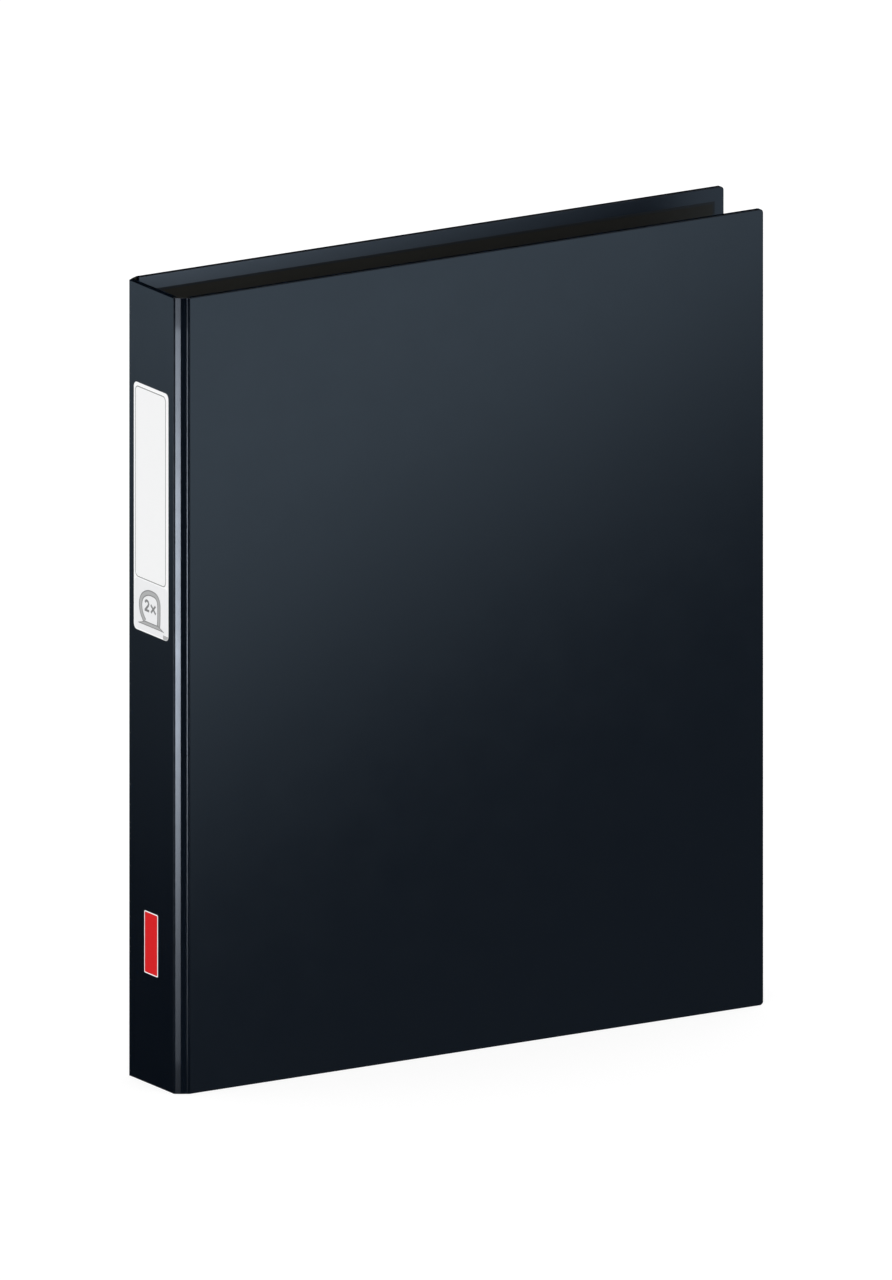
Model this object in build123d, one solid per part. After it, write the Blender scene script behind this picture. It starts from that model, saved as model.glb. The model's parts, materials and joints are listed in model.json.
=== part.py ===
"""Two-ring A4 binder: three wrapped board panels, two film hinges and a riveted D-ring mechanism.

Millimetres. +Z is up, X runs across the covers with the spine at -X, and Y runs through the
thickness with the front cover at -Y. The origin is the centre of the bottom of the closed binder.
"""

import os
from math import atan2, cos, degrees, hypot, radians, sin

from build123d import *

# Driving dimensions of the closed binder
HEIGHT = 320.0
WIDTH = 271.9  # label face to the back cover's fore-edge
THICKNESS = 40.0  # outer face to outer face of the two covers
FRONT_SETBACK = 5.0  # the front cover is this much narrower than the back cover
PANEL_T = 2.4  # board with its film on both faces
FILM_T = 0.25
CORNER_R = 1.5
EDGE_R = 0.35
TURN_IN = 5.5  # film folded over the top and bottom edges
TURN_IN_FORE = 4.3
LINER_PROUD = 0.1

# Film hinges: a flat strip between two fold lines
HINGE_DX = 5.05
HINGE_DY = 3.2
HINGE_NIP = 0.6  # film that closes a panel's edge beside a fold
FOLD_GAP = 0.05

# Spine label and sticker
PAPER_T = 0.12
LABEL_W = 25.6
LABEL_H = 99.4
LABEL_Z = 230.6
LABEL_R = 2.2
STICKER_W = 10.0
STICKER_H = 25.0
STICKER_Z = 56.7
STICKER_R = 0.6

# Ring mechanism
MECH_FROM_SPINE = 28.0  # from the spine's outer face to the mechanism's centre line
MECH_Z = HEIGHT / 2
RING_SPACING = 80.0
HOUSING_L = 140.0
HOUSING_W = 24.0
HOUSING_H = 5.5
HOUSING_T = 0.8
HOUSING_SIDE_H = 3.0
HOUSING_FLAT_W = 10.0
HOUSING_LIP = 2.4
HOUSING_END_R = 7.0
NOTCH_HALF = 2.6
NOTCH_FLOOR = 1.0
LEAF_L = 110.0
LEAF_T = 0.9
LEAF_PIVOT_U = 10.3
LEAF_PIVOT_H = 1.7
LEAF_GAP = 0.25  # from the centre line to a leaf's inner edge
LEAF_DIP = 5.0  # degrees that a closed leaf slopes down to the centre line
WIRE_R = 1.5
SPIGOT_R = 1.0
RING_CLEARANCE = 2.9  # from a closed ring to the front cover's liner
RING_BELLY_U = 16.4  # how far the curved half bulges towards the spine
RING_BELLY_DROP = 1.9  # the bulge sits this far below the middle of the curve
RING_FOOT = (-6.4, -0.8)
RING_KNEE = (-11.6, 7.2)
RING_SHOULDER_U = -3.0
LEG_U = 8.1
LEG_BEND_R = 6.0
SPLIT_U = 2.0
TIP_GAP = 0.04
RIVET_SPACING = 122.0
RIVET_SHANK_R = 1.9
RIVET_HOLE_GAP = 0.05
RIVET_POST_R = 3.2
RIVET_HEAD_R = 5.0
RIVET_HEAD_T = 0.8
RIVET_FLARE_R = 3.4
RIVET_FLARE_T = 0.6

# Derived positions
X_SPINE = -WIDTH / 2 + PAPER_T
X_FORE = WIDTH / 2
Y_FRONT = -(THICKNESS + RIVET_HEAD_T) / 2
Y_BACK = Y_FRONT + THICKNESS
Y_MID = (Y_FRONT + Y_BACK) / 2
FOLD_R = FILM_T  # a strip is two films thick, so this is half its thickness
FOLD_B_X = X_SPINE + FOLD_R
FOLD_A_X = FOLD_B_X + HINGE_DX
FOLD_A_HALF = THICKNESS / 2 - FOLD_R
FOLD_B_HALF = FOLD_A_HALF - HINGE_DY
Y_LINER = Y_BACK - PANEL_T - LINER_PROUD
X_MECH = X_SPINE + MECH_FROM_SPINE
RING_TOP = THICKNESS - 2 * (PANEL_T + LINER_PROUD) - RING_CLEARANCE - WIRE_R
RING_OFFSETS = {"upper": RING_SPACING / 2, "lower": -RING_SPACING / 2}
RIVET_OFFSETS = {"upper": RIVET_SPACING / 2, "lower": -RIVET_SPACING / 2}

# The mechanism's own section plane: U across the binder, W up from the back cover's liner
MECH = Plane(origin=(X_MECH, Y_LINER, MECH_Z), x_dir=(1, 0, 0), z_dir=(0, 0, -1))


def slab(x0, x1, y0, y1, z0, z1):
    """A box between two corners, given in either order."""
    size = (abs(x1 - x0), abs(y1 - y0), abs(z1 - z0))
    return Pos((x0 + x1) / 2, (y0 + y1) / 2, (z0 + z1) / 2) * Box(*size)


def fold_rod(x, y, r):
    """A cylinder along a fold line, a little longer than the binder is tall."""
    return Pos(x, y, HEIGHT / 2) * Cylinder(r, HEIGHT + 2)


def rivet_holes():
    """The holes for both rivets, long enough to cut through the back cover and the housing."""
    tool = Part()
    for dz in RIVET_OFFSETS.values():
        place = Pos(X_MECH, Y_BACK - 5, MECH_Z + dz) * Rot(90, 0, 0)
        tool += place * Cylinder(RIVET_SHANK_R + RIVET_HOLE_GAP, 14)
    return tool


def cover(side, x_fore):
    """Board, wrap and liner of one cover: side is -1 for the front cover and 1 for the back one."""
    outer = Y_MID + side * THICKNESS / 2
    y_board = outer - side * FILM_T
    y_board_in = outer - side * (PANEL_T - FILM_T)
    y_inner = outer - side * PANEL_T
    body = slab(FOLD_A_X, x_fore, outer, y_inner, 0, HEIGHT)
    corners = body.edges().filter_by(Axis.Y).group_by(Axis.X)[-1]
    body = fillet(corners, CORNER_R)
    rims = body.faces().sort_by(Axis.Y)
    rim_edges = rims[0].edges() + rims[-1].edges()
    rim_edges = [e for e in rim_edges if e.center().X > FOLD_A_X + 0.01]
    body = fillet(rim_edges, EDGE_R)

    board = slab(FOLD_A_X + HINGE_NIP, x_fore - FILM_T, y_board, y_board_in, FILM_T, HEIGHT - FILM_T)
    board = fillet(board.edges().filter_by(Axis.Y).group_by(Axis.X)[-1], CORNER_R - FILM_T)

    liner_top = y_inner - side * LINER_PROUD
    x_liner = x_fore - TURN_IN_FORE
    liner = slab(FOLD_A_X + HINGE_NIP, x_liner, y_board_in, liner_top, TURN_IN, HEIGHT - TURN_IN)
    groove = fold_rod(FOLD_A_X, Y_MID + side * FOLD_A_HALF, FOLD_R + FOLD_GAP)
    wrap = body - board - liner - groove
    return board, wrap, liner


def spine():
    """Board, wrap and liner of the spine."""
    x_board = X_SPINE + FILM_T
    x_board_in = X_SPINE + PANEL_T - FILM_T
    x_inner = X_SPINE + PANEL_T
    y0 = Y_MID - FOLD_B_HALF
    y1 = Y_MID + FOLD_B_HALF
    body = slab(X_SPINE, x_inner, y0, y1, 0, HEIGHT)
    rims = body.edges().filter_by(Axis.Y)
    body = fillet(rims, EDGE_R)
    board = slab(x_board, x_board_in, y0 + HINGE_NIP, y1 - HINGE_NIP, FILM_T, HEIGHT - FILM_T)
    x_liner = x_inner + LINER_PROUD
    liner = slab(x_board_in, x_liner, y0 + HINGE_NIP, y1 - HINGE_NIP, TURN_IN, HEIGHT - TURN_IN)
    wrap = body - board - liner
    for side in (-1, 1):
        wrap -= hinge_strip(side, FOLD_R + FOLD_GAP)
    return board, wrap, liner


def hinge_place(side):
    """Where the middle of a hinge strip sits, with X along its width."""
    angle = degrees(atan2(side * HINGE_DY, HINGE_DX))
    x = (FOLD_A_X + FOLD_B_X) / 2
    y = Y_MID + side * (FOLD_A_HALF + FOLD_B_HALF) / 2
    return Pos(x, y, 0) * Rot(0, 0, angle)


def hinge_strip(side, r):
    """The whole strip of one hinge, rounded with radius r about both fold lines."""
    length = hypot(HINGE_DX, HINGE_DY)
    return hinge_place(side) * extrude(SlotCenterToCenter(length, 2 * r), HEIGHT)


def hinge(side):
    """Outer and inner film of one hinge."""
    place = hinge_place(side)
    strip = hinge_strip(side, FOLD_R)
    half = hypot(HINGE_DX, HINGE_DY) / 2 + 1
    outside = slab(-half, half, 0, side * 1, -1, HEIGHT + 1)
    inside = slab(-half, half, 0, -side * 1, -1, HEIGHT + 1)
    return strip & (place * outside), strip & (place * inside)


def spine_paper(width, height, z, corner_r):
    """A thin rounded rectangle stuck on the spine's outer face."""
    sketch = RectangleRounded(width, height, corner_r)
    face = Plane(origin=(X_SPINE, Y_MID, z), x_dir=(0, 1, 0), z_dir=(-1, 0, 0))
    return extrude(face * sketch, PAPER_T)


def housing():
    """The arched spring plate with turned-in lips, ring notches and rivet holes."""
    half = HOUSING_W / 2
    flat = HOUSING_FLAT_W / 2
    points = [(-half, 0), (half, 0), (half, HOUSING_SIDE_H), (flat, HOUSING_H)]
    points += [(-flat, HOUSING_H), (-half, HOUSING_SIDE_H)]
    outline = make_face(Polyline(*points, close=True))
    shoulders = outline.vertices().sort_by(Axis.Y)[2:]
    outline = fillet(shoulders, 2.0)
    outline = fillet(outline.vertices().sort_by(Axis.Y)[:2], HOUSING_T + 0.2)
    cavity = offset(outline, amount=-HOUSING_T, kind=Kind.INTERSECTION)
    mouth = Pos(0, 0.5) * Rectangle(2 * (half - HOUSING_LIP), 3.0)
    section = outline - cavity - mouth
    plate = extrude(MECH * section, HOUSING_L / 2, both=True)
    plan = RectangleRounded(HOUSING_W, HOUSING_L, HOUSING_END_R)
    lid = Plane(origin=(X_MECH, Y_LINER + 1, MECH_Z), x_dir=(1, 0, 0), z_dir=(0, -1, 0))
    plate = plate & extrude(lid * plan, 10)
    for dz in RING_OFFSETS.values():
        for side in (-1, 1):
            u0 = X_MECH + side * (HOUSING_FLAT_W / 2 + 0.3)
            u1 = X_MECH + side * (half + 1)
            z = MECH_Z + dz
            y0 = Y_LINER - NOTCH_FLOOR
            plate -= slab(u0, u1, y0, y0 - 8, z - NOTCH_HALF, z + NOTCH_HALF)
    return plate - rivet_holes()


def leaf_section(side):
    """Section of one closed leaf: a flat strip whose rounded outer edge is its pivot."""
    length = (LEAF_PIVOT_U - LEAF_GAP) / cos(radians(LEAF_DIP))
    strip = Pos(length / 2, 0) * Rectangle(length, LEAF_T) + Circle(LEAF_T / 2)
    turn = -LEAF_DIP if side < 0 else 180 + LEAF_DIP
    return Pos(side * LEAF_PIVOT_U, LEAF_PIVOT_H) * Rot(0, 0, turn) * strip


def above_leaf(side, height):
    """A block with its underside on a closed leaf's upper face, or that far above it."""
    turn = -LEAF_DIP if side < 0 else LEAF_DIP
    place = Pos(side * LEAF_PIVOT_U, LEAF_PIVOT_H) * Rot(0, 0, turn)
    block = place * Pos(0, LEAF_T / 2 + height + 40) * Rectangle(120, 80)
    return extrude(MECH * block, HOUSING_L, both=True)


def ring_path(side):
    """Centre line of a ring half in the section plane, and the direction it leaves the leaf in."""
    tip = Vector(SPLIT_U + side * TIP_GAP / 2, RING_TOP)
    if side < 0:
        foot = Vector(*RING_FOOT)
        knee = Vector(*RING_KNEE)
        rise = (knee - foot).normalized()
        shoulder = Vector(RING_SHOULDER_U, RING_TOP)
        bulge = Vector(-RING_BELLY_U, (knee.Y + RING_TOP) / 2 - RING_BELLY_DROP)
        line = Line(foot, knee)
        belly = Spline(knee, bulge, shoulder, tangents=[rise, (1, 0)])
        return line + belly + Line(shoulder, tip), foot, rise
    foot = Vector(LEG_U, -0.8)
    bend = Vector(LEG_U, RING_TOP - LEG_BEND_R)
    over = Vector(LEG_U - LEG_BEND_R, RING_TOP)
    arc = JernArc(bend, (0, 1), LEG_BEND_R, 90)
    path = Line(foot, bend) + arc
    if (over - tip).length > 0.01:
        path += Line(over, tip)
    return path, foot, Vector(0, 1)


def ring_half(side, dz):
    """One wire ring half, staked through its leaf, and the hole its spigot fills."""
    path, foot, rise = ring_path(side)
    shift = Pos(0, 0, -dz)
    start = Plane(origin=foot, z_dir=rise)
    wire = sweep(start * Circle(WIRE_R), path=path)
    spigot = extrude(start * Circle(SPIGOT_R), 12)
    wire = MECH * shift * wire
    spigot = MECH * shift * spigot
    leaf_zone = above_leaf(side, -LEAF_T) - above_leaf(side, 0)
    ring = (wire & above_leaf(side, 0)) + (spigot & leaf_zone)
    tip_plane = Plane(origin=(SPLIT_U, RING_TOP), z_dir=(-1, 0, 0))
    at_tip = MECH.location * shift * tip_plane.location
    if side > 0:
        pin = at_tip * Pos(0, 0, 0.5) * Cone(0.72, 0.42, 1.1)
        ring += pin
    else:
        socket = at_tip * Pos(0, 0, 0.6) * Cone(0.95, 0.65, 1.3)
        ring -= socket
    return ring, spigot


def leaf(side):
    """One leaf of the mechanism and its two ring halves."""
    plate = extrude(MECH * leaf_section(side), LEAF_L / 2, both=True)
    rings = {}
    for where, dz in RING_OFFSETS.items():
        rings[where], spigot = ring_half(side, dz)
        plate -= spigot
    return plate, rings


def rivet(dz):
    """A tubular rivet: outer head, shank, post under the housing and flare on top of it."""
    outside = -(PANEL_T + LINER_PROUD)
    head = Cylinder(RIVET_HEAD_R, RIVET_HEAD_T, align=(Align.CENTER, Align.CENTER, Align.MAX))
    head = fillet(head.edges().group_by(Axis.Z)[0], RIVET_HEAD_T * 0.6)
    up = (Align.CENTER, Align.CENTER, Align.MIN)
    body = Pos(0, 0, outside) * head
    body += Pos(0, 0, outside) * Cylinder(RIVET_SHANK_R, HOUSING_H - outside, align=up)
    body += Cylinder(RIVET_POST_R, HOUSING_H - HOUSING_T, align=up)
    flare = Cylinder(RIVET_FLARE_R, RIVET_FLARE_T, align=up)
    flare = fillet(flare.edges().group_by(Axis.Z)[-1], RIVET_FLARE_T * 0.6)
    body += Pos(0, 0, HOUSING_H) * flare
    body -= Pos(0, 0, HOUSING_H - 1.5) * Cylinder(RIVET_SHANK_R * 0.6, 4, align=up)
    spot = Plane(origin=(X_MECH, Y_LINER, MECH_Z + dz), x_dir=(1, 0, 0), z_dir=(0, -1, 0))
    return spot * body


def build():
    """Every node of the binder, by name."""
    nodes = {}
    front = cover(-1, X_FORE - FRONT_SETBACK)
    back = cover(1, X_FORE)
    holes = rivet_holes()
    for kind, shape in zip(("board", "wrap", "liner"), front):
        nodes["front_" + kind] = shape
    for kind, shape in zip(("board", "wrap", "liner"), back):
        nodes["back_" + kind] = shape - holes
    for kind, shape in zip(("board", "wrap", "liner"), spine()):
        nodes["spine_" + kind] = shape
    for name, side in (("front", -1), ("back", 1)):
        nodes[name + "_hinge_film"], nodes[name + "_hinge_liner"] = hinge(side)
    nodes["spine_label"] = spine_paper(LABEL_W, LABEL_H, LABEL_Z, LABEL_R)
    nodes["spine_sticker"] = spine_paper(STICKER_W, STICKER_H, STICKER_Z, STICKER_R)
    nodes["ring_housing"] = housing()
    for name, side, shape in (("spine_side", -1, "curved"), ("page_side", 1, "straight")):
        nodes[name + "_leaf"], rings = leaf(side)
        for where, ring in rings.items():
            nodes["ring_" + shape + "_" + where] = ring
    for where, dz in RIVET_OFFSETS.items():
        nodes["rivet_" + where] = rivet(dz)
    return nodes


os.makedirs("parts", exist_ok=True)
for node, shape in build().items():
    export_step(shape, "parts/" + node + ".step")
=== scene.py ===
"""Two-ring binder, standing closed: finishes, film hinges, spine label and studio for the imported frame."""

import json
import math

import bmesh
import bpy
from mathutils import Matrix, Vector
from mathutils.geometry import tessellate_polygon

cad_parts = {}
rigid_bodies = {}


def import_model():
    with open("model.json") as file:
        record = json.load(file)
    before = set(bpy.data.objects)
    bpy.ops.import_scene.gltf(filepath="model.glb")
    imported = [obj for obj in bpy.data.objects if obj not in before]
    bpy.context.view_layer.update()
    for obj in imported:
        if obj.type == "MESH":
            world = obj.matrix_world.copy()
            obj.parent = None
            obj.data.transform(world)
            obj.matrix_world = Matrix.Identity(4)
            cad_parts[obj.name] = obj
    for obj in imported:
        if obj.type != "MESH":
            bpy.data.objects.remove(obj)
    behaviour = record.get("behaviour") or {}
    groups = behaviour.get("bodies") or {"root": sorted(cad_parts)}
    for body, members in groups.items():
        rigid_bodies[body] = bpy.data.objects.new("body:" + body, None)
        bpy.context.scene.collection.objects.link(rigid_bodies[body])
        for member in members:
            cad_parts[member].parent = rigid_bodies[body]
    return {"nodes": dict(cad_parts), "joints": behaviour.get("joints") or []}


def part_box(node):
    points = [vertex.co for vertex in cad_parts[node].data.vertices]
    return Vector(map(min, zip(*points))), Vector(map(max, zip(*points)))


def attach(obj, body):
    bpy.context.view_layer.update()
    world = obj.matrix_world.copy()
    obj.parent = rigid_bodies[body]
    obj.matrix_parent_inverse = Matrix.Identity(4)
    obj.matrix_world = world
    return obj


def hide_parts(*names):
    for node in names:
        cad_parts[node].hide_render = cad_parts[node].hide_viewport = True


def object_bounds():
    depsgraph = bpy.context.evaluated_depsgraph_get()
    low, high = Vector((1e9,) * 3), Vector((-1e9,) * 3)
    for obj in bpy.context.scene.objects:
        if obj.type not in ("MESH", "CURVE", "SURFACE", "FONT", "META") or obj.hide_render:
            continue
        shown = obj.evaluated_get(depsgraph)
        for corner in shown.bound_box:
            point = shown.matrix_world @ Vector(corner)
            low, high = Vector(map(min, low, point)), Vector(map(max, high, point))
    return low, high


for old in list(bpy.data.objects):
    bpy.data.objects.remove(old)

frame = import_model()
CAD_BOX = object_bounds()
NODES = frame["nodes"]
MM = 0.001
Y_FRONT = CAD_BOX[0].y
MID_Z = (CAD_BOX[0].z + CAD_BOX[1].z) / 2
MID_HEIGHT = round(MID_Z / MM, 3)  # the same in millimetres


# ---------------------------------------------------------------- node helpers


def new_material(name):
    """An empty node material and its Principled shader."""
    mat = bpy.data.materials.new(name)
    mat.use_nodes = True
    return mat, mat.node_tree.nodes["Principled BSDF"]


def add_node(mat, kind, **settings):
    """A node of that kind, with its properties set by name."""
    node = mat.node_tree.nodes.new(kind)
    for key, value in settings.items():
        setattr(node, key, value)
    return node


def link(mat, out_socket, in_socket):
    """Joins two sockets of a material's or a world's nodes."""
    mat.node_tree.links.new(out_socket, in_socket)


def emptied(block):
    """A material or a world, with its node tree switched on and emptied."""
    block.use_nodes = True
    block.node_tree.nodes.clear()
    return block


def set_ramp(ramp, stops):
    """Sets a colour ramp's stops: each a place from 0 to 1, and a colour."""
    elements = ramp.color_ramp.elements
    while len(elements) < len(stops):
        elements.new(0.5)
    for element, (place, _) in zip(elements, stops):
        element.position = place
    for element, (_, colour) in zip(elements, stops):
        element.color = (*colour, 1)


def row_coords(mat, scale=(1, 1, 1)):
    """Coordinates in the row frame, in metres, stretched by scale."""
    coord = add_node(mat, "ShaderNodeTexCoord")
    mapping = add_node(mat, "ShaderNodeMapping")
    mapping.inputs["Scale"].default_value = scale
    link(mat, coord.outputs["Object"], mapping.inputs["Vector"])
    return mapping.outputs["Vector"]


def noise(mat, vector, scale, detail=3.0, roughness=0.5):
    """A noise value from 0 to 1; scale is in cells per metre."""
    node = add_node(mat, "ShaderNodeTexNoise")
    node.inputs["Scale"].default_value = scale
    node.inputs["Detail"].default_value = detail
    node.inputs["Roughness"].default_value = roughness
    link(mat, vector, node.inputs["Vector"])
    return node.outputs["Fac"]


def remap(mat, value, low, high, to_low, to_high):
    """A value taken from the range low to high into the range to_low to to_high, and held inside it."""
    node = add_node(mat, "ShaderNodeMapRange")
    for key, number in (("From Min", low), ("From Max", high), ("To Min", to_low), ("To Max", to_high)):
        node.inputs[key].default_value = number
    link(mat, value, node.inputs["Value"])
    return node.outputs["Result"]


def along_x(mat, a, b):
    """A colour from a, near the spine, to b, near the fore-edge: the photograph's shading, painted on."""
    split = add_node(mat, "ShaderNodeSeparateXYZ")
    link(mat, row_coords(mat), split.inputs[0])
    return blend_colours(mat, remap(mat, split.outputs["X"], *SHADING_X, 0, 1), a, b)


def times(mat, a, b):
    """Two colours multiplied."""
    mix = add_node(mat, "ShaderNodeMix", data_type="RGBA", blend_type="MULTIPLY")
    mix.inputs[0].default_value = 1
    link(mat, a, mix.inputs[6])
    link(mat, b, mix.inputs[7])
    return mix.outputs[2]


def blend_colours(mat, factor, a, b):
    """Plain colour a where the factor is 0, b where it is 1."""
    node = add_node(mat, "ShaderNodeMix", data_type="RGBA")
    node.inputs[6].default_value = (*a, 1)
    node.inputs[7].default_value = (*b, 1)
    link(mat, factor, node.inputs[0])
    return node.outputs[2]


def bump(mat, shader, height, depth, under=None):
    """Surface relief of that depth in metres, on top of the relief under it."""
    node = add_node(mat, "ShaderNodeBump")
    node.inputs["Strength"].default_value = 1.0
    node.inputs["Distance"].default_value = depth
    link(mat, height, node.inputs["Height"])
    if under is not None:
        link(mat, under, node.inputs["Normal"])
    link(mat, node.outputs["Normal"], shader.inputs["Normal"])
    return node.outputs["Normal"]


# ------------------------------------------------------------------- materials


SHADING_X = (-0.11, 0.10)  # where the painted shading starts and ends, in metres
# Painted light and shade on the turned-in margins: pale near the spine, dark at the fore-edge.
TURN_IN_PAINTED_SHADING = ((0.092, 0.120, 0.155), (0.007, 0.014, 0.026))
TURN_IN_ROUGHNESS = 0.42
# Painted shade on the liners and their seams: full colour at the spine, darker at the fore-edge.
LINER_PAINTED_SHADING = ((1, 1, 1), (0.6, 0.6, 0.6))


def faces_along(mat, direction):
    """1 where the surface faces that direction, and 0 elsewhere."""
    coord = add_node(mat, "ShaderNodeTexCoord")
    dot = add_node(mat, "ShaderNodeVectorMath", operation="DOT_PRODUCT")
    dot.inputs[1].default_value = direction
    link(mat, coord.outputs["Normal"], dot.inputs[0])
    return remap(mat, dot.outputs["Value"], 0.8, 0.95, 0, 1)


def turned_in(mat, inside, cloud, colour, gloss):
    """The film's colour and roughness, with its turned-in margins, which face inside, satin and painted
    paler: painted light near the spine that fades to painted shade at the fore-edge.
    """
    margin = faces_along(mat, inside)
    # Painted light: the margins' pale colour, fading to painted shade towards the fore-edge.
    pale = blend_colours(mat, cloud, (0.92, 0.92, 0.92), (1, 1, 1))
    pale = times(mat, pale, along_x(mat, *TURN_IN_PAINTED_SHADING))
    hue = add_node(mat, "ShaderNodeMix", data_type="RGBA")
    link(mat, margin, hue.inputs[0])
    link(mat, colour, hue.inputs[6])
    link(mat, pale, hue.inputs[7])
    satin = add_node(mat, "ShaderNodeMix", data_type="FLOAT")
    link(mat, margin, satin.inputs[0])
    link(mat, gloss, satin.inputs[2])
    satin.inputs[3].default_value = TURN_IN_ROUGHNESS
    return hue.outputs[2], satin.outputs[0]


def film_material(name, inside=None):
    """Glossy film over board: slow waves, a faint orange peel, and a little change in colour and gloss."""
    mat, shader = new_material(name)
    vector = row_coords(mat)
    cloud = noise(mat, vector, scale=22.0, detail=4.0, roughness=0.6)
    colour = blend_colours(mat, cloud, FILM_DARK, FILM_LIGHT)
    patches = noise(mat, vector, scale=60.0, detail=5.0, roughness=0.65)
    gloss = remap(mat, patches, 0.3, 0.7, *FILM_ROUGHNESS)
    if inside:
        colour, gloss = turned_in(mat, inside, cloud, colour, gloss)
    link(mat, colour, shader.inputs["Base Color"])
    link(mat, gloss, shader.inputs["Roughness"])
    waves = bump(mat, shader, noise(mat, vector, scale=14.0, detail=1.0), depth=0.000072)
    bump(mat, shader, noise(mat, vector, scale=1600.0, detail=2.0), depth=0.0000024, under=waves)
    shader.inputs["IOR"].default_value = 1.5
    return mat


def liner_material(name, dark, light, rough):
    """Satin film with a fine emboss, darkened towards the fore-edge by painted shade."""
    mat, shader = new_material(name)
    vector = row_coords(mat)
    colour = blend_colours(mat, noise(mat, vector, scale=35.0, detail=5.0), dark, light)
    # Painted shade: the colour darkens towards the fore-edge.
    link(mat, times(mat, colour, along_x(mat, *LINER_PAINTED_SHADING)), shader.inputs["Base Color"])
    patches = noise(mat, vector, scale=250.0)
    link(mat, remap(mat, patches, 0.3, 0.7, *rough), shader.inputs["Roughness"])
    bump(mat, shader, noise(mat, vector, scale=2400.0, detail=2.0), depth=0.00002)
    shader.inputs["Specular IOR Level"].default_value = 0.3
    shader.inputs["IOR"].default_value = 1.46
    return mat


def paper_material(name, colour, shade, rough, fibre=1.0, specular=0.5):
    """Coated paper or board, with upright fibres that are deeper by the factor fibre."""
    mat, shader = new_material(name)
    shader.inputs["Specular IOR Level"].default_value = specular
    vector = row_coords(mat, (1, 1, 0.35))
    fibres = noise(mat, vector, scale=1500.0, detail=4.0, roughness=0.7)
    link(mat, blend_colours(mat, fibres, shade, colour), shader.inputs["Base Color"])
    patches = noise(mat, vector, scale=300.0)
    link(mat, remap(mat, patches, 0.3, 0.7, *rough), shader.inputs["Roughness"])
    bump(mat, shader, fibres, depth=0.000006 * fibre)
    return mat


def metal_material(name, colour, shade, rough, grain):
    """Plated steel: metallic, with fine drawn grain and faint stains."""
    mat, shader = new_material(name)
    vector = row_coords(mat, grain)
    stains = noise(mat, row_coords(mat), scale=180.0, detail=4.0, roughness=0.6)
    link(mat, blend_colours(mat, stains, shade, colour), shader.inputs["Base Color"])
    lines = noise(mat, vector, scale=900.0, detail=3.0)
    link(mat, remap(mat, lines, 0.3, 0.7, *rough), shader.inputs["Roughness"])
    bump(mat, shader, noise(mat, vector, scale=900.0, detail=2.0), depth=0.000004)
    shader.inputs["Metallic"].default_value = 1.0
    return mat


FILM_DARK = (0.0007, 0.0019, 0.0049)
FILM_LIGHT = (0.0009, 0.0024, 0.0058)
FILM_ROUGHNESS = (0.15, 0.19)
RED, DEEP_RED = (0.68, 0.003, 0.005), (0.64, 0.002, 0.004)
DRAWN_UP = (1, 1, 0.1)  # stretches the grain along z
EVEN = (1, 1, 1)
MATS = {
    "film": film_material("glossy_navy_film"),
    "back_film": film_material("glossy_film_back", inside=(0, -1, 0)),
    "front_film": film_material("glossy_film_front", inside=(0, 1, 0)),
    "spine_film": film_material("glossy_film_spine", inside=(1, 0, 0)),
    "liner": liner_material("satin_liner", (0.026, 0.0258, 0.0222), (0.032, 0.0318, 0.0275), (0.6, 0.7)),
    "seam": liner_material("liner_seam", (0.020, 0.025, 0.032), (0.026, 0.031, 0.038), (0.5, 0.6)),
    "board": paper_material("greyboard", (0.30, 0.28, 0.25), (0.22, 0.21, 0.19), (0.85, 0.95), fibre=6.0),
    "label": paper_material("label_field", (0.92, 0.92, 0.92), (0.90, 0.90, 0.90), (0.42, 0.5)),
    "label_edge": paper_material("label_paper", (0.98, 0.98, 0.98), (0.96, 0.96, 0.96), (0.42, 0.5)),
    "label_foot": paper_material("label_foot", (0.87, 0.87, 0.88), (0.84, 0.84, 0.85), (0.42, 0.5)),
    "ink": paper_material("grey_ink", (0.25, 0.25, 0.25), (0.21, 0.21, 0.21), (0.45, 0.55)),
    "ink_light": paper_material("pale_ink", (0.47, 0.47, 0.47), (0.42, 0.42, 0.42), (0.45, 0.55)),
    "red": paper_material("sticker_red", RED, DEEP_RED, (0.45, 0.55), specular=0.12),
    "nickel": metal_material("nickel_plate", (0.74, 0.72, 0.69), (0.66, 0.64, 0.61), (0.16, 0.24), DRAWN_UP),
    "wire": metal_material("nickel_wire", (0.76, 0.75, 0.73), (0.70, 0.69, 0.67), (0.10, 0.16), EVEN),
    "zinc": metal_material("zinc_plate", (0.56, 0.57, 0.60), (0.46, 0.47, 0.50), (0.28, 0.38), DRAWN_UP),
}

CAD_FINISH = {
    "front_wrap": "front_film",
    "back_wrap": "back_film",
    "spine_wrap": "spine_film",
    "front_liner": "liner",
    "back_liner": "liner",
    "spine_liner": "liner",
    "front_hinge_film": "film",
    "back_hinge_film": "film",
    "front_hinge_liner": "liner",
    "back_hinge_liner": "liner",
    "front_board": "board",
    "back_board": "board",
    "spine_board": "board",
    "spine_label": "label_edge",
    "spine_sticker": "label_edge",
    "ring_housing": "nickel",
    "rivet_upper": "nickel",
    "rivet_lower": "nickel",
    "spine_side_leaf": "zinc",
    "page_side_leaf": "zinc",
    "ring_curved_upper": "wire",
    "ring_curved_lower": "wire",
    "ring_straight_upper": "wire",
    "ring_straight_lower": "wire",
}
for node_name, finish in CAD_FINISH.items():
    cad = NODES[node_name]
    cad.data.materials.clear()
    cad.data.materials.append(MATS[finish])


# ------------------------------------------------------------------------ mesh


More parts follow.
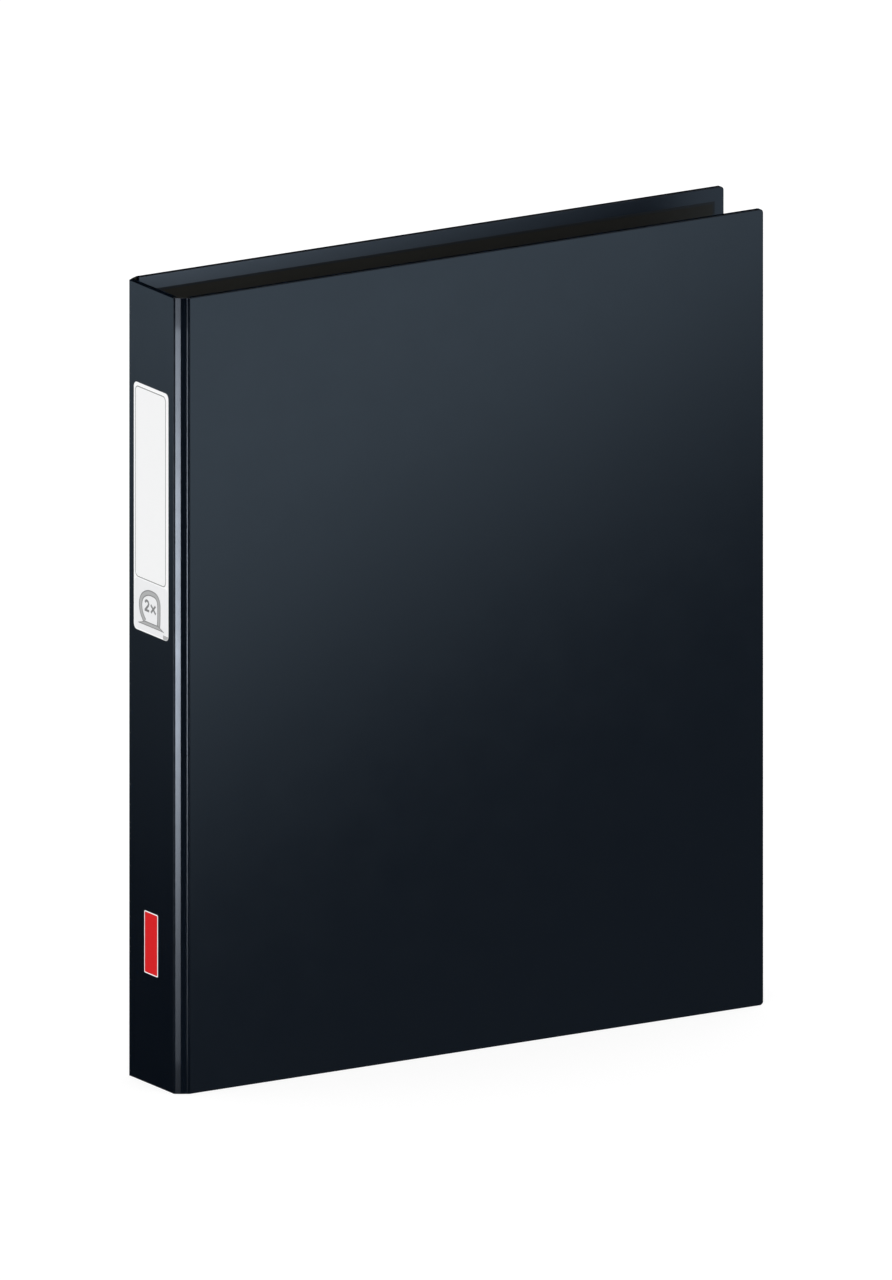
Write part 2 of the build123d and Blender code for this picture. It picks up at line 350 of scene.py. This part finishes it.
def make_object(name, verts, faces, mat, body):
    """A mesh object in the row frame, given in millimetres, riding on a body."""
    mesh = bpy.data.meshes.new(name)
    mesh.from_pydata([Vector(v) * MM for v in verts], [], faces)
    mesh.validate()
    mesh.materials.append(mat)
    obj = bpy.data.objects.new(name, mesh)
    bpy.context.scene.collection.objects.link(obj)
    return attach(obj, body)


def fix_normals(obj):
    """Faces of a closed mesh point outwards."""
    bm = bmesh.new()
    bm.from_mesh(obj.data)
    bmesh.ops.recalc_face_normals(bm, faces=bm.faces)
    bm.to_mesh(obj.data)
    bm.free()


def band(first, second, count):
    """Quads between two rings of a mesh, given by their numbers and by how many points each ring has."""
    faces = []
    for i in range(count):
        j = (i + 1) % count
        faces.append((first * count + i, first * count + j, second * count + j, second * count + i))
    return faces


def mm_box(node_name):
    """A CAD node's lowest and highest corner in millimetres."""
    low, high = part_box(node_name)
    return low / MM, high / MM


LABEL_LOW, LABEL_HIGH = mm_box("spine_label")
STICKER_LOW, STICKER_HIGH = mm_box("spine_sticker")
PAPER_X = LABEL_LOW.x
PRINT_T = 0.012


def stuck_plate(name, loops, mat, lift, thick=PRINT_T):
    """A flat print on the spine's papers, lifted off them: loops of (y, z) millimetres, the first outside and
    any others holes."""
    points = [p for loop in loops for p in loop]
    count = len(points)
    outside = [(PAPER_X - lift - thick, y, z) for y, z in points]
    inside = [(PAPER_X - lift, y, z) for y, z in points]
    triangles = tessellate_polygon([[Vector((y, z, 0)) for y, z in loop] for loop in loops])
    faces = [tuple(t) for t in triangles]
    faces += [tuple(count + i for i in reversed(t)) for t in triangles]
    start = 0
    for loop in loops:
        size = len(loop)
        for i in range(size):
            a, b = start + i, start + (i + 1) % size
            faces.append((a, b, count + b, count + a))
        start += size
    fix_normals(make_object(name, outside + inside, faces, mat, "spine"))


def rounded_rectangle(y0, y1, z0, z1, radius, steps=6):
    """Corner points of a rounded rectangle, in order."""
    points = []
    corners = ((y1 - radius, z1 - radius, 0), (y0 + radius, z1 - radius, 90))
    corners += ((y0 + radius, z0 + radius, 180), (y1 - radius, z0 + radius, 270))
    for cy, cz, start in corners:
        for i in range(steps + 1):
            angle = math.radians(start + 90 * i / steps)
            points.append((cy + radius * math.cos(angle), cz + radius * math.sin(angle)))
    return points


def spline(points, steps=8):
    """An open Catmull-Rom curve through points."""
    out = []
    last = len(points) - 1
    for i in range(last):
        p = [Vector(points[min(max(i + k, 0), last)]) for k in (-1, 0, 1, 2)]
        for j in range(steps):
            t = j / steps
            a = 2 * p[1] + (p[2] - p[0]) * t
            b = (2 * p[0] - 5 * p[1] + 4 * p[2] - p[3]) * t**2
            c = (3 * p[1] - p[0] - 3 * p[2] + p[3]) * t**3
            out.append(tuple((a + b + c) / 2))
    return out + [points[-1]]


def stroke(points, width):
    """Outline of an open line of that width, with square ends."""
    left, right = [], []
    n = len(points)
    for i, here in enumerate(points):
        before = Vector(points[max(i - 1, 0)])
        after = Vector(points[min(i + 1, n - 1)])
        along = (after - before).normalized()
        side = Vector((-along.y, along.x)) * width / 2
        left.append(tuple(Vector(here) + side))
        right.append(tuple(Vector(here) - side))
    return left + right[::-1]


# ----------------------------------------------------------------- film hinges

FOLD = {}
for joint in frame["joints"]:
    FOLD[joint["name"]] = Vector(joint["pos_m"]) / MM

# Outer face of a hinge strip, in millimetres: how far along from the spine fold, and how far out of the
# plane of its two folds. A rounded lip is followed by a groove, a long rise to a soft crest, a long fall to
# a second groove, a fine ridge, and a flat edge by the cover.
STRIP_PROFILE = [
    (-0.24, 0.05), (-0.16, 0.08), (-0.05, 0.08), (0.25, 0.05), (0.38, 0.034), (0.46, 0.030),
    (0.54, 0.037), (2.50, 0.240), (2.62, 0.247), (2.74, 0.240), (2.90, 0.222), (4.84, 0.020),
    (4.97, 0.013), (5.04, 0.018), (5.22, 0.043), (5.27, 0.043), (5.34, 0.028), (5.44, 0.012),
    (5.80, 0.010), (6.05, 0.014), (6.20, 0.012), (6.24, 0.0),
]


CREST_SLOPE = math.radians(6.0)  # how steep the two sides of the crest are
STRIP_BACK = [(6.1, -0.02), (-0.14, -0.02)]
LOWEST_FACE = -0.01
# How far in from an end, and how far the face dips there.
END_STEPS = [(0.0, 0.10), (0.05, 0.03), (0.15, 0.0)]
STRIP_SPANS = 24


def strip_stations(low, high):
    """Heights of a strip's sections, each with how far its face dips there, so that its ends are soft."""
    inset = END_STEPS[-1][0]
    step = (high - low - 2 * inset) / STRIP_SPANS
    stations = [(low + rise, dip) for rise, dip in END_STEPS]
    stations += [(low + inset + step * i, 0.0) for i in range(1, STRIP_SPANS)]
    stations += [(high - rise, dip) for rise, dip in reversed(END_STEPS)]
    return stations


def strip_directions(spine_fold, cover_fold):
    """Where a strip starts, the way it goes to the cover, and the way its face looks: towards -x."""
    start, end = FOLD[spine_fold].copy(), FOLD[cover_fold].copy()
    start.z = end.z = 0
    along = (end - start).normalized()
    out = Vector((along.y, -along.x, 0))
    if out.x > 0:
        out = -out
    return start, along, out


def hinge_strip(name, spine_fold, cover_fold, body, node_name):
    """The creased outer film of one hinge, swept up the binder."""
    low, high = mm_box(node_name)
    start, along, out = strip_directions(spine_fold, cover_fold)
    stations = strip_stations(low.z, high.z)
    count = len(STRIP_PROFILE) + len(STRIP_BACK)
    verts, faces = [], []
    for z, dip in stations:
        section = [(s, max(t - dip, LOWEST_FACE)) for s, t in STRIP_PROFILE] + STRIP_BACK
        verts += [start + along * s + out * t + Vector((0, 0, z)) for s, t in section]
    for k in range(len(stations) - 1):
        faces += band(k, k + 1, count)
    faces.append(tuple(range(count)))
    faces.append(tuple(reversed(range((len(stations) - 1) * count, len(stations) * count))))
    obj = make_object(name, verts, faces, MATS["film"], body)
    fix_normals(obj)
    for poly in obj.data.polygons:
        poly.use_smooth = len(poly.vertices) == 4
    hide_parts(node_name)


for where in ("front", "back"):
    folds = (where + "_spine_fold", where + "_cover_fold")
    hinge_strip(where + "_hinge_crease", *folds, where + "_hinge", where + "_hinge_film")


# ----------------------------------------------------------- label and sticker

LABEL_MID = (LABEL_LOW.y + LABEL_HIGH.y) / 2
PICTOGRAM_SHIFT = 0.4
# How far prints lie off the label's paper, in millimetres, so that no two faces share a plane.
ON_PAPER, ON_FOOT, RING_LINE, BAR_FILL, BAR_LINE = 0.0, 0.006, 0.014, 0.020, 0.028
CROSSING = 0.003


def on_label(points):
    """Points of the pictogram, from the middle of the label's lower edge, as (y, z) on the spine."""
    return [(LABEL_MID + PICTOGRAM_SHIFT + y, LABEL_LOW.z + z) for y, z in points]


def label_stroke(name, points, width, lift):
    """A line of the pictogram in grey ink."""
    stuck_plate(name, [on_label(stroke(points, width))], MATS["ink"], lift)


def label_fields():
    """The pale foot of the label, and the writing field with its thin frame."""
    low, high = LABEL_LOW, LABEL_HIGH
    rim, foot_top = 0.5, low.z + 20.7
    foot = rounded_rectangle(low.y + rim, high.y - rim, low.z + rim, foot_top, radius=1.7)
    y0, y1 = low.y + 1.75, high.y - 0.95
    z0, z1 = foot_top + rim, high.z - 1.4
    side_line, end_line = 0.38, 0.36
    field = rounded_rectangle(y0, y1, z0, z1, radius=2.2)
    inner = rounded_rectangle(y0 + side_line, y1 - side_line, z0 + end_line, z1 - end_line, radius=1.85)
    stuck_plate("label_foot_field", [foot], MATS["label_foot"], ON_PAPER, thick=ON_FOOT)
    stuck_plate("label_frame_line", [field, inner], MATS["ink"], ON_PAPER)
    stuck_plate("label_field", [inner], MATS["label"], ON_PAPER)


def label_ring():
    """The pictogram's ring: a pale wire with a darker line along each edge."""
    ring = [(4.2, 4.6), (6.5, 7.3), (7.4, 10.6), (6.7, 13.2), (5.0, 15.0), (1.7, 16.4), (-2.0, 16.55)]
    ring += [(-4.5, 15.9), (-6.1, 13.8), (-6.27, 10.0), (-6.2, 6.6), (-5.9, 4.3)]
    wire = stroke(spline(ring), 1.85)
    stuck_plate("label_ring_fill", [on_label(wire)], MATS["ink_light"], ON_FOOT)
    half = len(wire) // 2
    for i, edge in enumerate((wire[:half], wire[half:])):
        label_stroke("label_ring_line_%d" % i, edge, 0.42, RING_LINE)


def label_bar():
    """The pictogram's housing under the ring."""
    bar = [(9.6, 3.0), (6.4, 3.9), (4.4, 4.7), (-5.9, 4.7)]
    bar += [(-7.6, 4.0), (-10.4, 2.9), (-6.4, 3.0), (6.4, 3.0)]
    hollow = [(7.6, 3.35), (6.3, 3.7), (4.3, 4.35), (-5.8, 4.35)]
    hollow += [(-7.4, 3.7), (-8.6, 3.25), (-6.4, 3.32), (6.4, 3.32)]
    stuck_plate("label_bar_fill", [on_label(bar)], MATS["ink_light"], BAR_FILL)
    stuck_plate("label_bar_line", [on_label(bar), on_label(hollow)], MATS["ink"], BAR_LINE)


def label_count():
    """The number of rings, drawn as strokes: a two and a times sign."""
    two = [(4.0, 12.2), (3.5, 12.85), (2.7, 13.1), (1.8, 12.8)]
    two += [(1.35, 12.0), (1.7, 11.2), (2.9, 10.1), (3.9, 9.2)]
    label_stroke("label_two_top", two, 1.0, ON_FOOT)
    label_stroke("label_two_foot", [(4.35, 9.15), (1.0, 9.15)], 0.95, ON_FOOT + CROSSING)
    for i, ends in enumerate((((-0.2, 12.0), (-3.9, 8.9)), ((-3.7, 12.1), (-0.35, 8.9)))):
        label_stroke("label_times_%d" % i, ends, 0.9, ON_FOOT + CROSSING * i)


def label_corner():
    """A grey mark in one of the label's rounded lower corners."""
    mark = [(-9.4, 1.8), (-13.0, 1.8), (-13.0, 1.6)]
    for degrees in (205, 220, 235, 250, 262):
        a = math.radians(degrees)
        mark.append((-11.0 + 2.05 * math.cos(a), 2.2 + 2.05 * math.sin(a)))
    mark.append((-9.4, 0.15))
    stuck_plate("label_corner_mark", [on_label(mark)], MATS["ink_light"], ON_FOOT)


def sticker_field():
    """A plain red field inside the sticker's thin white border."""
    low, high = STICKER_LOW, STICKER_HIGH
    border = 0.4
    field = rounded_rectangle(low.y + border, high.y - border, low.z + border, high.z - border, radius=0.35)
    stuck_plate("sticker_field", [field], MATS["red"], ON_PAPER)


# How far in from the liner's edge, and how far off its face.
SEAM_PROFILE = [(0.05, 0.0), (0.15, 0.03), (0.85, 0.03), (0.95, 0.0)]


def liner_seam(name, low, high, face, out, body):
    """A narrow welded line round a liner, raised on the face of the cover that looks along y * out."""
    verts, faces = [], []
    for inset, rise in SEAM_PROFILE:
        corners = [(low.x + inset, low.z + inset), (high.x - inset, low.z + inset)]
        corners += [(high.x - inset, high.z - inset), (low.x + inset, high.z - inset)]
        verts += [(x, face + out * rise, z) for x, z in corners]
    rings = len(SEAM_PROFILE)
    for k in range(rings):
        faces += band(k, (k + 1) % rings, 4)
    fix_normals(make_object(name, verts, faces, MATS["seam"], body))


def liner_seams():
    """The seam inside each cover."""
    low, high = mm_box("back_liner")
    liner_seam("back_liner_seam", low, high, low.y, -1, "back_cover")
    low, high = mm_box("front_liner")
    liner_seam("front_liner_seam", low, high, high.y, 1, "front_cover")


label_fields()
label_ring()
label_bar()
label_count()
label_corner()
sticker_field()
liner_seams()


# ------------------------------------------------------------------ the studio


HIDDEN_FROM = ("camera", "diffuse", "shadow", "transmission", "volume_scatter")
ROOM_LIGHT = 1.27
FLOOR_SIZE = 120.0
FLOOR_GREY = 0.28
FLOOR_GLOW = 0.80


def stage_plane(name, width, height, mat):
    """A rectangle of the studio about its own origin, in metres."""
    x, y = width / 2, height / 2
    mesh = bpy.data.meshes.new(name)
    mesh.from_pydata([(-x, -y, 0), (x, -y, 0), (x, y, 0), (-x, y, 0)], [], [(0, 1, 2, 3)])
    mat.cycles.emission_sampling = "NONE"
    mesh.materials.append(mat)
    obj = bpy.data.objects.new(name, mesh)
    bpy.context.scene.collection.objects.link(obj)
    return obj


def gradient_glow(name, stops, tint, tilt):
    """Light whose strength follows w = y - tilt * x on its card: stops of w in metres and strength."""
    mat = emptied(bpy.data.materials.new(name))
    coord = add_node(mat, "ShaderNodeTexCoord")
    dot = add_node(mat, "ShaderNodeVectorMath", operation="DOT_PRODUCT")
    dot.inputs[1].default_value = (-tilt, 1, 0)
    link(mat, coord.outputs["Object"], dot.inputs[0])
    low, high = stops[0][0], stops[-1][0]
    peak = max(strength for _, strength in stops)
    ramp = add_node(mat, "ShaderNodeValToRGB")
    ramp.color_ramp.interpolation = "CARDINAL"
    shades = [((w - low) / (high - low), [strength / peak * c for c in tint]) for w, strength in stops]
    set_ramp(ramp, shades)
    link(mat, remap(mat, dot.outputs["Value"], low, high, 0, 1), ramp.inputs["Fac"])
    emit = add_node(mat, "ShaderNodeEmission")
    emit.inputs["Strength"].default_value = peak
    link(mat, ramp.outputs["Color"], emit.inputs["Color"])
    out = add_node(mat, "ShaderNodeOutputMaterial")
    link(mat, emit.outputs["Emission"], out.inputs["Surface"])
    return mat


def emission_card(name, centre, along, up, size, stops, tint, tilt=0.0):
    """A reflector that only glossy rays see, with its x along the one direction and its y up the other."""
    along, up = Vector(along).normalized(), Vector(up).normalized()
    card = stage_plane(name, *size, gradient_glow(name, stops, tint, tilt))
    turn = Matrix((along, up, along.cross(up))).transposed().to_4x4()
    card.matrix_world = Matrix.Translation(centre) @ turn
    for ray in HIDDEN_FROM:
        setattr(card, "visible_" + ray, False)


def studio_grey(value):
    """Bluish in the dark parts, and nearly white in the softbox."""
    warm = 0.95 if value > 1 else 0.5
    return (value * warm, value * (1 + warm) / 2, value)


def world():
    """White light from all round, and a dark studio with an overhead softbox for reflections."""
    sky = emptied(bpy.data.worlds.new("studio"))
    bpy.context.scene.world = sky
    coord = add_node(sky, "ShaderNodeTexCoord")
    split = add_node(sky, "ShaderNodeSeparateXYZ")
    link(sky, coord.outputs["Generated"], split.inputs[0])
    ramp = add_node(sky, "ShaderNodeValToRGB")
    link(sky, remap(sky, split.outputs["Z"], -1, 1, 0, 1), ramp.inputs["Fac"])
    stops = ((0.0, 0.12), (0.42, 0.06), (0.5, 0.02), (0.56, 0.009), (0.9, 0.012), (0.965, 2.2), (1.0, 2.4))
    set_ramp(ramp, [(place, studio_grey(value)) for place, value in stops])
    white = add_node(sky, "ShaderNodeBackground")
    white.inputs["Strength"].default_value = ROOM_LIGHT
    studio = add_node(sky, "ShaderNodeBackground")
    link(sky, ramp.outputs["Color"], studio.inputs["Color"])
    path = add_node(sky, "ShaderNodeLightPath")
    mix = add_node(sky, "ShaderNodeMixShader")
    link(sky, path.outputs["Is Glossy Ray"], mix.inputs["Fac"])
    link(sky, white.outputs["Background"], mix.inputs[1])
    link(sky, studio.outputs["Background"], mix.inputs[2])
    out = add_node(sky, "ShaderNodeOutputWorld")
    link(sky, mix.outputs["Shader"], out.inputs["Surface"])
    sky.cycles.sampling_method = "NONE"


def floor():
    """A plain pale floor, which the glossy film doesn't mirror."""
    mat = emptied(bpy.data.materials.new("pale_floor"))
    diffuse = add_node(mat, "ShaderNodeBsdfDiffuse")
    diffuse.inputs["Color"].default_value = (FLOOR_GREY, FLOOR_GREY, FLOOR_GREY, 1)
    glow = add_node(mat, "ShaderNodeEmission")
    glow.inputs["Strength"].default_value = FLOOR_GLOW
    both = add_node(mat, "ShaderNodeAddShader")
    out = add_node(mat, "ShaderNodeOutputMaterial")
    link(mat, diffuse.outputs[0], both.inputs[0])
    link(mat, glow.outputs[0], both.inputs[1])
    link(mat, both.outputs[0], out.inputs["Surface"])
    stage_plane("floor", FLOOR_SIZE, FLOOR_SIZE, mat).visible_glossy = False


AZIMUTH, ELEVATION = math.radians(-31.46), math.radians(14.73)
RIGHT = Vector((math.cos(AZIMUTH), math.sin(AZIMUTH), 0))
LEVEL = math.cos(ELEVATION)
BACK = Vector((math.sin(AZIMUTH) * LEVEL, -math.cos(AZIMUTH) * LEVEL, math.sin(ELEVATION)))
UP = BACK.cross(RIGHT)
VIEW_HEIGHT = 0.49767
LOOK_RIGHT, LOOK_UP = -0.00108, 0.15483  # the middle of the view, from the row frame's origin
CAMERA_DISTANCE = 3.0


def camera():
    """A parallel view at the photograph's angle."""
    data = bpy.data.cameras.new("camera")
    data.type = "ORTHO"
    data.ortho_scale = VIEW_HEIGHT
    data.clip_end = 100
    cam = bpy.data.objects.new("camera", data)
    bpy.context.scene.collection.objects.link(cam)
    cam.rotation_mode = "QUATERNION"
    cam.rotation_quaternion = (-BACK).to_track_quat("-Z", "Y")
    cam.location = RIGHT * LOOK_RIGHT + UP * LOOK_UP + BACK * CAMERA_DISTANCE
    bpy.context.scene.camera = cam


COOL_TINT = (0.622, 0.813, 1.0)
STRIP_TINT = (0.76, 0.855, 1.0)
UPWARDS = (0, 0, 1)
SPINE_POINT = Vector((-0.1358, 0, MID_Z))
HINGE_POINT = Vector((-0.1345, -0.0185, MID_Z))  # just outside the front hinge's strip


def mirrored(normal):
    """The way a camera ray leaves a surface with that normal."""
    return -BACK + 2 * BACK.dot(normal) * normal


def seen_from(start, normal, reach):
    """Where the mirrored camera ray from a point gets to when it is reach away from the surface there."""
    ray = mirrored(normal)
    return start + ray * (reach / ray.dot(normal))


def from_middle(stops):
    """Stops given by height in millimetres, in metres from the binder's middle."""
    return [((height - MID_HEIGHT) * MM, strength) for height, strength in stops]


def front_reflector():
    """A slanted gradient in the front cover."""
    centre = seen_from(Vector((0, Y_FRONT, MID_Z)), Vector((0, -1, 0)), reach=0.6)
    stops = from_middle([(80, 0.19), (125, 0.23), (200, 0.68), (300, 1.43)])
    emission_card("front_reflector", centre, (1, 0, 0), UPWARDS, (1.0, 0.9), stops, COOL_TINT, tilt=0.445)


def spine_reflector():
    """A gradient in the spine, brighter towards its top."""
    centre = seen_from(SPINE_POINT, Vector((-1, 0, 0)), reach=0.4)
    stops = from_middle([(40, 0.03), (130, 0.13), (220, 0.28), (300, 0.66)])
    emission_card("spine_reflector", centre, (0, -1, 0), UPWARDS, (0.5, 0.8), stops, COOL_TINT)


def back_reflector():
    """A slanted gradient behind the binder, for views of its back."""
    stops = [(-0.25, 0.15), (-0.1, 0.3), (0.0, 0.6), (0.1, 1.0), (0.2, 1.3), (0.4, 1.5)]
    place = (0.35, 0.62, -0.06)
    emission_card("back_reflector", place, (-1, 0, 0), UPWARDS, (1.2, 0.75), stops, COOL_TINT, tilt=-0.3)


def strip_light():
    """A narrow light, mirrored in one side of the front hinge's crest."""
    _, _, out = strip_directions("front_spine_fold", "front_cover_fold")
    ray = mirrored(Matrix.Rotation(-CREST_SLOPE, 3, "Z") @ out)
    stops = from_middle([(0, 0.76), (100, 6.84), (195, 20.14), (330, 3.8)])
    level = (ray.y, -ray.x, 0)
    distance = 0.75
    centre = HINGE_POINT + ray * distance
    emission_card("strip_light", centre, level, UPWARDS, (0.11, 0.9), stops, STRIP_TINT)


world()
floor()
camera()
front_reflector()
spine_reflector()
back_reflector()
strip_light()

scene = bpy.context.scene
scene.view_settings.view_transform = "Standard"
scene.view_settings.look = "None"
